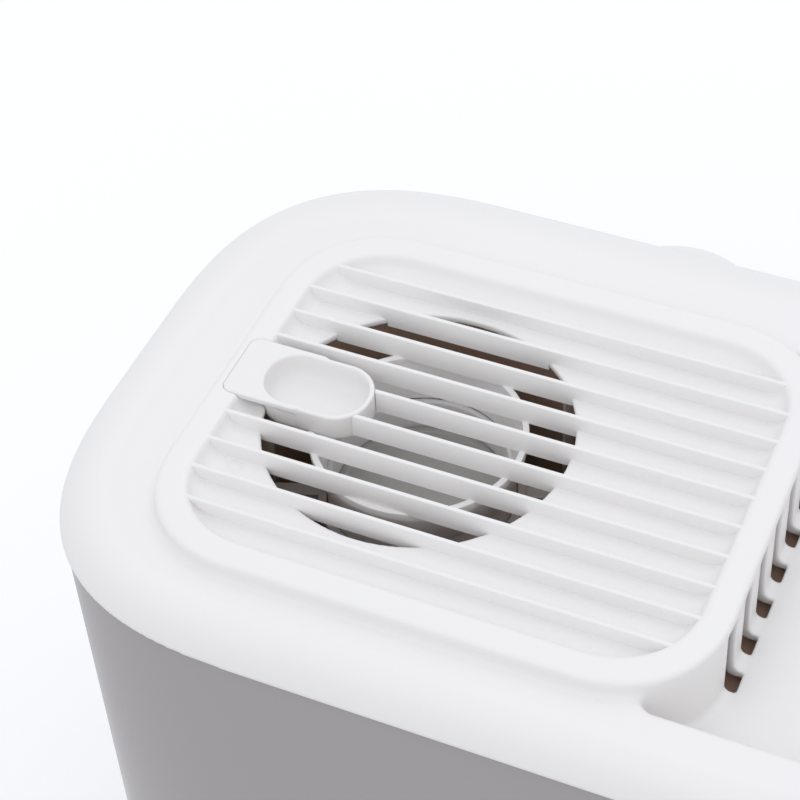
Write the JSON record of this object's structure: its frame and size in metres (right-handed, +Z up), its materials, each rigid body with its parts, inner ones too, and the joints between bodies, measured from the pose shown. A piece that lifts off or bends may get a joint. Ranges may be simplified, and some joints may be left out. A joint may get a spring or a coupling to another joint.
{
  "type": "cool mist humidifier",
  "caption": "Rounded rectangular tank under a lift-off lid with a slatted round air outlet, a side fill basin with a comb wall, and a lift-out scent tray.",
  "frame": {"origin": "centre of the object's bounding box, on the surface it stands on", "axes": "+X along the slats towards the fill basin, +Y towards the rear housing, +Z up"},
  "size_m": [0.284, 0.2, 0.3],
  "materials": {
    "white_body": "fine satin texture",
    "white_top": "fine satin texture",
    "white_tray": "satin",
    "white_pod": "satin",
    "white_button": "satin",
    "brown_duct": "satin",
    "dark_plastic": "matt",
    "grey_plastic": "matt",
    "disc_grey": "satin",
    "wick_fibre": "paper-like fibre",
    "clear_window": "clear moulded plastic",
    "rubber_dark": "matt",
    "float_red": "smooth",
    "silicone": "matt",
    "lens": "frosted light pipe",
    "board_green": "solder mask",
    "steel": "zinc plated",
    "brass": "turned"
  },
  "bodies": {
    "base": {"water_tank": "white_body", "foot_front_left": "rubber_dark", "foot_front_right": "rubber_dark", "foot_back_left": "rubber_dark", "foot_back_right": "rubber_dark", "level_window": "clear_window", "window_gasket": "rubber_dark", "float_guide": "grey_plastic", "wick_filter": "wick_fibre", "filter_base": "grey_plastic", "filter_cap": "grey_plastic"},
    "float": {"level_float": "float_red"},
    "lid": {"top_deck": "white_top", "lid_seal": "rubber_dark", "air_guide": "brown_duct", "fan_housing": "brown_duct", "motor_pod": "white_pod", "pod_disc": "disc_grey", "fan_motor": "steel", "rear_housing": "white_body", "power_inlet": "dark_plastic", "control_case": "dark_plastic", "control_board": "board_green", "button_pad": "silicone", "indicator_lens": "lens", "fan_screw_1": "steel", "fan_screw_2": "steel", "fan_screw_3": "steel", "fan_screw_4": "steel", "case_screw_1": "steel", "case_screw_2": "steel"},
    "fan": {"fan_impeller": "brown_duct", "motor_shaft": "steel", "impeller_nut": "brass"},
    "power_key": {"button_power": "white_button"},
    "speed_key": {"button_speed": "white_button"},
    "timer_key": {"button_timer": "white_button"},
    "tray": {"scent_tray": "white_tray"}
  },
  "joints": [
    {"name": "lid_lift", "type": "slide", "parent": "base", "child": "lid", "axis": [0, 0, 1], "range_m": [0, 0.08]},
    {"name": "tray_lift", "type": "slide", "parent": "lid", "child": "tray", "axis": [0, 0, 1], "range_m": [0, 0.03]},
    {"name": "fan_spin", "type": "hinge", "parent": "lid", "child": "fan", "pos_m": [-0.0483, -0.0081, 0.2375], "axis": [0, 0, 1], "continuous": true},
    {"name": "power_press", "type": "slide", "parent": "lid", "child": "power_key", "axis": [0, 0, -1], "range_m": [0, 0.0012], "stiffness_N_per_m": 600},
    {"name": "speed_press", "type": "slide", "parent": "lid", "child": "speed_key", "axis": [0, 0, -1], "range_m": [0, 0.0012], "stiffness_N_per_m": 600},
    {"name": "timer_press", "type": "slide", "parent": "lid", "child": "timer_key", "axis": [0, 0, -1], "range_m": [0, 0.0012], "stiffness_N_per_m": 600},
    {"name": "float_rise", "type": "slide", "parent": "base", "child": "float", "axis": [0, 0, 1], "range_m": [0, 0.15]}
  ]
}
